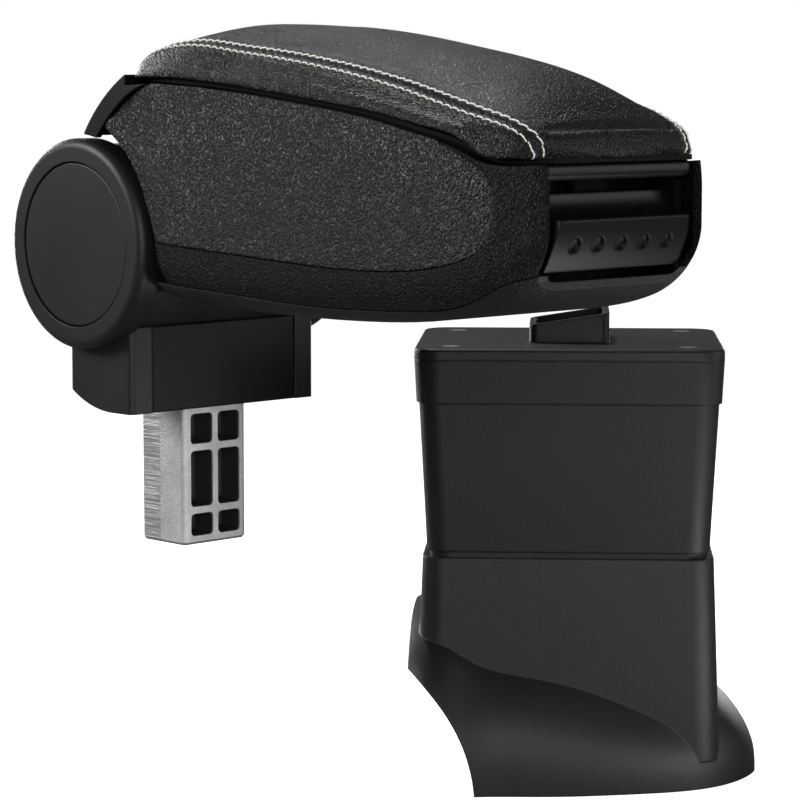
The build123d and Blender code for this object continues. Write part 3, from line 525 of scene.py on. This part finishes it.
def smoothLine(points):
    # a smooth curve through the points of a table, without overshoot at its steps
    x, v = (np.array(column, float) for column in zip(*points))
    slope = np.diff(v) / np.diff(x)
    before, after = slope[:-1], slope[1:]
    same = before * after > 0
    lean = np.zeros_like(x)
    lean[0], lean[-1] = slope[0], slope[-1]
    lean[1:-1] = np.where(same, 2 * before * after / np.where(same, before + after, 1), 0)

    def at(q):
        q = np.clip(np.asarray(q, float), x[0], x[-1])
        i = np.clip(np.searchsorted(x, q) - 1, 0, len(x) - 2)
        h = x[i + 1] - x[i]
        t = (q - x[i]) / h
        return (
            v[i] * (1 + 2 * t) * (1 - t) ** 2
            + v[i + 1] * t * t * (3 - 2 * t)
            + lean[i] * h * t * (1 - t) ** 2
            - lean[i + 1] * h * t * t * (1 - t)
        )

    return at


# Upholstered lid, from its rear end to its front end
lid = {
    "rear": 33.8,
    "front": 259.3,
    # along x: height of its foot, half its width, place and height of its seams, height of its middle
    "foot": [
        (8, 70.4), (33.8, 70.5), (41, 71.3), (54, 71.4), (70, 70.6), (110, 67.2), (150, 62.4),
        (185, 57.8), (207, 53.5), (221.5, 50.6), (231, 46.6), (238.6, 42.2), (244, 41.5), (275, 41.4),
    ],
    "half": [
        (33.8, 53.6), (35.2, 56.0), (38, 57.4), (45, 58.5), (56, 59.2), (72, 59.6), (107, 59.9), (140, 60.0),
        (171, 59.9), (201, 59.1), (226, 57.4), (238, 55.6), (246, 53.4), (252, 50.9), (256, 48.4),
        (259.3, 45.2),
    ],
    "seamSide": [
        (33.8, 44.0), (37.5, 46.6), (48, 47.9), (100, 48.3), (180, 48.2), (215, 47.8), (236, 47.0),
        (248, 45.6), (259.3, 43.5),
    ],
    "seamRise": [
        (33.8, 77.0), (35.4, 79.8), (39, 82.4), (48, 84.6), (66, 85.8), (100, 82.6), (130, 79.1), (159, 74.9),
        (187, 69.3), (214, 62.6), (228, 59.0), (241.5, 56.0), (252, 52.6), (256.5, 50.4), (259.3, 47.5),
    ],
    "crown": [
        (33.8, 79.5), (35.4, 84.0), (39, 88.0), (50, 92.4), (70, 94.6), (108, 93.4), (137, 90.6), (166, 86.3),
        (194, 81.4), (221, 74.8), (238, 66.4), (250, 57.4), (254.5, 53.2), (257.5, 51.6), (259.3, 49.6),
    ],
    # bow of the front end in plan
    "bow": 5.5,
    "bowStart": 225.0,
    "bowHalf": 43.0,
    "bowMost": 1.2,
    # section: arch of the top, shoulder below the seam, bulge of the side, tuck at the foot
    "dome": 2.15,
    "shoulder": 0.55,
    "bulge": 0.7,
    "bulgeHeight": 0.5,
    "tuckIn": 0.5,
    "tuckUp": 0.4,
    # points over half a section, closer beside the seam, then back under the foot
    "topSteps": 18,
    "topShare": 0.82,
    "seamSteps": 12,
    "sideShare": 0.4,
    "sideSteps": 13,
    "underShares": (0.985, 0.94, 0.6, 0.2),
    "underLifts": (0.02, 0.0, 0.0, 0.0),
    # rows of points along the lid, closer at its ends, and down each end face
    "stations": 300,
    "evenShare": 0.55,
    "easedShare": 0.45,
    "endRows": 8,
    "endSwell": 0.9,
    "swellUntil": 0.9,
    "endTaper": 0.004,
    # points that measure the seam's run along the lid and down the end faces
    "runSteps": 600,
    "runEnds": 8,
    "runHigh": 0.1,
    "runLow": 0.96,
    # sewn channel, stitch rows and the swell beside them
    "channel": 0.75,
    "channelWide": 1.25,
    "rowApart": 2.7,
    "rowWide": 0.8,
    "rowDeep": 0.22,
    "pitch": 4.25,
    "pucker": 0.16,
    "swell": 0.35,
    "swellApart": 3.2,
    "swellWide": 2.4,
    # crease across the front, and slow waves of the leather
    "crease": 0.9,
    "creaseAt": 254.0,
    "creaseWide": 2.2,
    "creaseHalf": 42.0,
    "creaseFade": 4,
    "wave": 0.18,
    "waveLengths": (17.0, 13.0, 19.0, 31.0),
    # all of this relief grows from the rear end
    "reliefFrom": 33.0,
    "reliefOver": 8.0,
    "reliefLeast": 0.25,
    # slack of the cover before it is filled, and how far it eases in from what holds it
    "slack": 0.9,
    "slackSeam": 9.0,
    "slackFoot": 7.0,
    "slackEnd": 12.0,
}
lidLines = {key: smoothLine(lid[key]) for key in ("foot", "half", "seamSide", "seamRise", "crown")}


def hump(distance, width):
    return np.exp(-((distance / width) ** 2))


def bowed(form, x, y):
    # the front end is bowed in plan
    reach = np.clip((x - form["bowStart"]) / (form["front"] - form["bowStart"]), 0, 1)
    return x - form["bow"] * np.minimum((np.abs(y) / form["bowHalf"]) ** 2, form["bowMost"]) * reach * reach


def coverSection(form, x):
    # right half of the section at x, from the middle over the seam to the foot, with its way from the seam
    foot, half = lidLines["foot"](x), lidLines["half"](x)
    side, rise, crown = lidLines["seamSide"](x), lidLines["seamRise"](x), lidLines["crown"](x)
    wide = np.linspace(0, form["topShare"], form["topSteps"], endpoint=False)
    share = np.concatenate([wide, np.linspace(form["topShare"], 1.0, form["seamSteps"])])
    topY = side * share
    topZ = crown - (crown - rise) * share ** form["dome"]
    lean = np.array([1.0, -form["dome"] * (crown - rise) / side])
    lean /= np.hypot(*lean)
    p0 = np.array([side, rise])
    p1 = p0 + lean * form["shoulder"] * (half - side)
    p2 = np.array([half + form["bulge"], foot + form["bulgeHeight"] * (rise - foot)])
    p3 = np.array([half - form["tuckIn"], foot + form["tuckUp"]])
    near = np.linspace(0, form["sideShare"], form["seamSteps"] + 1)[1:]
    far = np.linspace(form["sideShare"], 1.0, form["sideSteps"] + 1)[1:]
    t = np.concatenate([near, far])[:, None]
    band = p0 * (1 - t) ** 3 + 3 * p1 * t * (1 - t) ** 2 + 3 * p2 * t * t * (1 - t) + p3 * t**3
    y = np.concatenate([topY, band[:, 0]])
    z = np.concatenate([topZ, band[:, 1]])
    way = np.concatenate([[0], np.cumsum(np.hypot(np.diff(y), np.diff(z)))])
    way -= way[len(topY) - 1]
    along = np.stack([np.gradient(y), np.gradient(z)], axis=1)
    along /= np.linalg.norm(along, axis=1)[:, None]
    normal = np.stack([-along[:, 1], along[:, 0]], axis=1)
    return y, z, way, normal


def seamPath(form):
    # the seam's way up the rear end, along the lid and down the front end: x, share of the fall, length run
    rear, front, ends, steps = form["rear"], form["front"], form["runEnds"], form["runSteps"]
    x = np.concatenate([[rear] * ends, np.linspace(rear, front, steps), [front] * ends])
    up = np.linspace(form["runLow"], form["runHigh"], ends)
    down = np.linspace(form["runHigh"], form["runLow"], ends)
    fall = np.concatenate([up, np.zeros(steps), down])
    foot, y, z = lidLines["foot"](x), lidLines["seamSide"](x), lidLines["seamRise"](x)
    z = foot + (z - foot) * (1 - fall)
    step = np.sqrt(np.diff(bowed(form, x, y)) ** 2 + np.diff(y) ** 2 + np.diff(z) ** 2)
    return x, fall, np.concatenate([[0], np.cumsum(step)])


seamX, seamFall, seamRun = seamPath(lid)
onTop = slice(lid["runEnds"], -lid["runEnds"])


def coverLift(form, x, y, way, run):
    # the sewn channel, the leather drawn in at each stitch, and the soft swell beside the seam
    beside = np.abs(way) - form["rowApart"]
    lift = -form["channel"] * hump(way, form["channelWide"])
    drawn = form["rowDeep"] + form["pucker"] * np.cos(2 * math.pi * run / form["pitch"])
    lift -= hump(beside, form["rowWide"]) * drawn
    lift += form["swell"] * hump(beside - form["swellApart"], form["swellWide"])
    inward = np.clip(1 - (y / form["creaseHalf"]) ** form["creaseFade"], 0, 1)
    lift -= form["crease"] * (hump(x - form["creaseAt"], form["creaseWide"]) * inward)
    a, b, c, d = form["waveLengths"]
    lift += form["wave"] * np.sin(x / a + y / b) * np.sin(y / c - x / d)
    return lift * np.clip((x - form["reliefFrom"]) / form["reliefOver"], form["reliefLeast"], 1)


def sectionAt(form, x, state="sewn"):
    # sewn: with its channels and puckers, bare: the filled form alone, slack: before it is filled
    y, z, way, normal = coverSection(form, x)
    lift = np.zeros_like(way)
    if state == "slack":
        seamEase, footEase = np.abs(way) / form["slackSeam"], (way[-1] - way) / form["slackFoot"]
        free = np.clip(seamEase, 0, 1) * np.clip(footEase, 0, 1)
        rearEase, frontEase = (x - form["rear"]) / form["slackEnd"], (form["front"] - x) / form["slackEnd"]
        lift = -form["slack"] * free * (np.clip(rearEase, 0, 1) * np.clip(frontEase, 0, 1))
    elif state == "sewn":
        lift = coverLift(form, x, y, way, np.interp(x, seamX[onTop], seamRun[onTop]))
    return y + normal[:, 0] * lift, z + normal[:, 1] * lift, way


def newMesh(name, points, faces, material):
    mesh = bpy.data.meshes.new(name)
    mesh.from_pydata([tuple(p) for p in points], [], faces)
    mesh.validate()
    mesh.materials.append(material)
    mesh.polygons.foreach_set("use_smooth", [True] * len(mesh.polygons))
    obj = bpy.data.objects.new(name, mesh)
    scene.collection.objects.link(obj)
    return obj


def endRow(form, x, fall, y, z):
    # the end faces: a section let down to the foot and swelled outwards
    foot = lidLines["foot"](x)
    swell = form["endSwell"] * math.sin(math.pi * min(fall, form["swellUntil"]))
    out = swell if x > (form["rear"] + form["front"]) / 2 else -swell
    y, z = y * (1 - form["endTaper"] * fall), foot + (z - foot) * (1 - fall)
    return bowed(form, x, y) + out, y, z


def coverGrid(form, count, state="sewn"):
    # rows over the top from left to right and back under the foot, from the rear end to the front end
    rear, front = form["rear"], form["front"]
    grow = np.linspace(0, 1, count)
    ease = 0.5 - 0.5 * np.cos(math.pi * grow)
    stations = rear + (front - rear) * (form["evenShare"] * grow + form["easedShare"] * ease)
    falls = np.sin(np.linspace(0, math.pi / 2, form["endRows"] + 1))[1:]
    plan = [(rear, fall) for fall in falls[::-1]] + [(x, 0.0) for x in stations]
    plan += [(front, fall) for fall in falls]
    rows = []
    for x, fall in plan:
        y, z = sectionAt(form, x, state)[:2]
        low = y[-1] * np.array(form["underShares"])
        under = lidLines["foot"](x) + np.array(form["underLifts"])
        y = np.concatenate([-low[::-1], -y[::-1], y[1:], low])
        z = np.concatenate([under[::-1], z[::-1], z[1:], under])
        rows.append(toRow(*endRow(form, x, fall, y, z)))
    return np.array(rows), np.concatenate([-falls[::-1], grow, 1 + falls])


def gridFaces(count, width):
    faces = []
    for i in range(count - 1):
        for j in range(width):
            k = (j + 1) % width
            faces.append((i * width + j, i * width + k, (i + 1) * width + k, (i + 1) * width + j))
    faces.append(tuple(reversed(range(width))))
    faces.append(tuple(range((count - 1) * width, count * width)))
    return faces


# Cloth that fills the cover: columns held at the foot and on each side of the seam, most it may move in mm
filling = {
    "stations": 120,
    "footColumns": 6,
    "seamColumns": 4,
    "frames": 14,
    "quality": 6,
    "mass": 0.4,
    "airDamping": 4.0,
    "tension": 25,
    "compression": 25,
    "shear": 15,
    "bending": 4,
    "pressure": 2.0,
    "most": 2.0,
    "tiny": 1e-9,
}


def holdCover(blank, form, fill, deep, width):
    held = blank.vertex_groups.new(name="held")
    middle = (width - 1) / 2
    across = np.abs(np.arange(width) - middle)
    seamColumn = form["topSteps"] + form["seamSteps"] - 1
    fixed = (across > middle - fill["footColumns"]) | (np.abs(across - seamColumn) <= fill["seamColumns"])
    for i in range(deep):
        ended = i <= form["endRows"] or i >= deep - 1 - form["endRows"]
        held.add([i * width + j for j in range(width) if ended or fixed[j]], 1.0, "REPLACE")


def fillCover(form, fill):
    # blow the slack cover up over its padding, held at the foot, the ends and the two seams
    rows, grow = coverGrid(form, fill["stations"], "slack")
    deep, width = rows.shape[:2]
    blank = newMesh("slackCover", rows.reshape(-1, 3), gridFaces(deep, width), finishes["leatherette"])
    holdCover(blank, form, fill, deep, width)
    cloth = blank.modifiers.new("fill", "CLOTH")
    fabric = cloth.settings
    fabric.quality, fabric.mass, fabric.air_damping = fill["quality"], fill["mass"], fill["airDamping"]
    fabric.tension_stiffness, fabric.compression_stiffness = fill["tension"], fill["compression"]
    fabric.shear_stiffness, fabric.bending_stiffness = fill["shear"], fill["bending"]
    fabric.use_pressure, fabric.uniform_pressure_force = True, fill["pressure"]
    fabric.vertex_group_mass = "held"
    fabric.effector_weights.gravity = 0
    cloth.collision_settings.use_collision = False
    cloth.point_cache.frame_start, cloth.point_cache.frame_end = 1, fill["frames"]
    for step in range(1, fill["frames"] + 1):
        scene.frame_set(step)
    shown = blank.evaluated_get(bpy.context.evaluated_depsgraph_get()).to_mesh()
    after = np.empty(len(shown.vertices) * 3)
    shown.vertices.foreach_get("co", after)
    moved = after.reshape(deep, width, 3) - rows
    scene.frame_set(1)
    bpy.data.objects.remove(blank)
    size = np.linalg.norm(moved, axis=2, keepdims=True)
    moved *= np.minimum(1, fill["most"] / perMetre / np.maximum(size, fill["tiny"]))
    print("cover filled: moved by up to", round(float(size.max()) * perMetre, 2), "mm")
    return rows + moved, grow


def makeCover(form, fill):
    rows, grow = coverGrid(form, form["stations"])
    deep, width = rows.shape[:2]
    filled, place = fillCover(form, fill)
    extra = filled - coverGrid(form, fill["stations"], "bare")[0]
    change = np.percentile(np.linalg.norm(extra, axis=2) * perMetre, (50, 90, 100))
    print("cover against its form:", np.round(change, 2), "mm")
    i = np.clip(np.searchsorted(place, grow) - 1, 0, len(place) - 2)
    t = ((grow - place[i]) / (place[i + 1] - place[i]))[:, None, None]
    rows = rows + extra[i] * (1 - t) + extra[i + 1] * t
    return newMesh("lidCover", rows.reshape(-1, 3), gridFaces(deep, width), finishes["leatherette"])


lidCover = makeCover(lid, filling)
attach(lidCover, "lid")
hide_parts("lid_pad")
print("lid cover:", len(lidCover.data.polygons), "faces")

# Two rows of twisted thread beside each seam
stitch = {
    "length": 4.1,
    "margin": 0.4,
    "stagger": 0.5,
    "radius": 0.2,
    "twist": 0.17,
    "turns": 1.2,
    "turnEach": 0.7,
    "rise": 0.42,
    "sink": 0.3,
    "arch": 0.45,
    "slant": 0.6,
    "sides": 6,
    "steps": 9,
    "feelAhead": 0.3,
    "feelAside": 0.4,
}


def onCover(form, run, way):
    x, fall = float(np.interp(run, seamRun, seamX)), float(np.interp(run, seamRun, seamFall))
    y, z, along = sectionAt(form, x)
    return np.array(endRow(form, x, fall, np.interp(way, along, y), np.interp(way, along, z)))


def seamPoint(form, sewing, run, way, lift):
    # a point over the cover beside the seam, and the way out of the cover there
    here = onCover(form, run, way)
    reach = sewing["feelAhead"]
    ahead = onCover(form, run + reach, way) - onCover(form, run - reach, way)
    aside = onCover(form, run, way + sewing["feelAside"]) - here
    out = np.cross(ahead, aside)
    out /= np.linalg.norm(out)
    return here + out * lift, out


def stitchLine(form, sewing, row, begin):
    # one stitch's middle line, with the directions across it and out of the cover
    path, outs = [], []
    for step in range(sewing["steps"]):
        t = step / (sewing["steps"] - 1)
        lift = -sewing["sink"] + (sewing["rise"] + sewing["sink"]) * math.sin(math.pi * t) ** sewing["arch"]
        way = row * form["rowApart"] + sewing["slant"] * (t - 0.5) * row
        point, out = seamPoint(form, sewing, begin + sewing["length"] * t, way, lift)
        path.append(point)
        outs.append(out)
    path = np.array(path)
    ahead = np.gradient(path, axis=0)
    ahead /= np.linalg.norm(ahead, axis=1)[:, None]
    across = np.cross(ahead, np.array(outs))
    across /= np.linalg.norm(across, axis=1)[:, None]
    return path, across, np.cross(across, ahead)


def addStrand(points, faces, sewing, line, start):
    # one of a stitch's two strands, wound about its middle line
    steps, sides, base = sewing["steps"], sewing["sides"], len(points)
    for step, (middle, across, over) in enumerate(zip(*line)):
        turn = start + 2 * math.pi * sewing["turns"] * step / (steps - 1)
        centre = middle + sewing["twist"] * (math.cos(turn) * across + math.sin(turn) * over)
        for k in range(sides):
            a = 2 * math.pi * k / sides
            points.append(centre + sewing["radius"] * (math.cos(a) * across + math.sin(a) * over))
    last = base + (steps - 1) * sides
    for low in range(base, last, sides):
        for k in range(sides):
            m = (k + 1) % sides
            faces.append((low + k, low + m, low + sides + m, low + sides + k))
    faces.append(tuple(base + k for k in reversed(range(sides))))
    faces.append(tuple(last + k for k in range(sides)))


def makeStitching(form, sewing):
    points, faces = [], []
    count = int((seamRun[-1] - 2 * sewing["margin"]) / form["pitch"])
    first = seamRun[-1] - sewing["margin"] - count * form["pitch"]
    for row, stagger in ((-1, 0.0), (1, sewing["stagger"])):
        for n in range(count):
            line = stitchLine(form, sewing, row, first + n * form["pitch"] + stagger)
            for strand in (0, math.pi):
                addStrand(points, faces, sewing, line, strand + sewing["turnEach"] * n)
    right = np.array(points)
    both = np.concatenate([right * (1, -1, 1), right])
    mirrored = [tuple(len(right) + i for i in reversed(face)) for face in faces]
    return newMesh("lidStitching", toRow(both[:, 0], both[:, 1], both[:, 2]), faces + mirrored, thread)


lidStitching = makeStitching(lid, stitch)
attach(lidStitching, "lid")
print("stitching:", len(lidStitching.data.polygons), "faces")

# Soft light over a pale floor and backdrop, which are bright to the camera and darker to the part
studio = {
    "floor": 0.8,
    "floorShade": 0.10,
    "floorGlow": 1.0,
    "floorRough": 0.9,
    "floorReach": 12.0,
    "floorGap": 0.0003,
    "sky": 0.08,
    "backdrop": 1.0,
    # name, place, aim, size, watts
    "softboxes": [
        ("rearLeft", (-1.05, 0.17, 0.22), (0.05, 0.0, 0.10), (0.4, 0.5), 9.0),
        ("rearRight", (-0.35, 1.15, -0.05), (0.08, 0.08, -0.03), (0.3, 0.5), 2.4),
        ("overhead", (-0.51, 0.47, 1.0), (0.18, -0.03, 0.15), (0.26, 0.2), 3.9),
        ("left", (-0.76, -0.90, 0.60), (0.0, 0.0, 0.05), (0.6, 0.6), 11.5),
        ("right", (1.05, 0.85, 0.35), (0.15, 0.05, 0.0), (0.35, 0.9), 3.4),
        ("front", (1.2, -0.95, 0.30), (0.08, 0.06, -0.04), (0.9, 0.9), 8.2),
        ("low", (0.40, 0.10, -0.15), (0.26, 0.02, 0.03), (0.25, 0.12), 0.6),
    ],
}


def hangSoftbox(name, place, aim, size, watts):
    data = bpy.data.lights.new(name, "AREA")
    data.shape, data.size, data.size_y, data.energy = "RECTANGLE", size[0], size[1], watts
    obj = bpy.data.objects.new(name, data)
    obj.location = place
    obj.rotation_euler = (Vector(aim) - Vector(place)).to_track_quat("-Z", "Y").to_euler()
    obj.visible_camera = False
    scene.collection.objects.link(obj)


def hangBackdrop(setup):
    world = bpy.data.worlds.new("studio")
    world.use_nodes = True
    background = world.node_tree.nodes["Background"]
    background.inputs["Color"].default_value = (1, 1, 1, 1)
    seen = Wire(world.node_tree).node("ShaderNodeLightPath", out="Is Camera Ray")
    (seen * (setup["backdrop"] - setup["sky"]) + setup["sky"]).into(background, "Strength")
    scene.world = world


def layFloor(setup):
    low, reach = cadBox[0][2] - setup["floorGap"], setup["floorReach"]
    corners = [(-reach, -reach, low), (reach, -reach, low), (reach, reach, low), (-reach, reach, low)]
    fixed = {"Roughness": setup["floorRough"], "Emission_Strength": setup["floorGlow"]}
    material, shader, place = newFinish("paleFloor", **fixed)
    seen = place.node("ShaderNodeLightPath", out="Is Camera Ray")
    seen.blend(grey(0), grey(1)).into(shader, "Emission Color")
    seen.blend(grey(setup["floorShade"]), grey(setup["floor"])).into(shader, "Base Color")
    newMesh("floor", corners, [(0, 1, 2, 3)], material)


for softbox in studio["softboxes"]:
    hangSoftbox(*softbox)
hangBackdrop(studio)
layFloor(studio)
scene.view_settings.view_transform = "Standard"
print("studio lit")
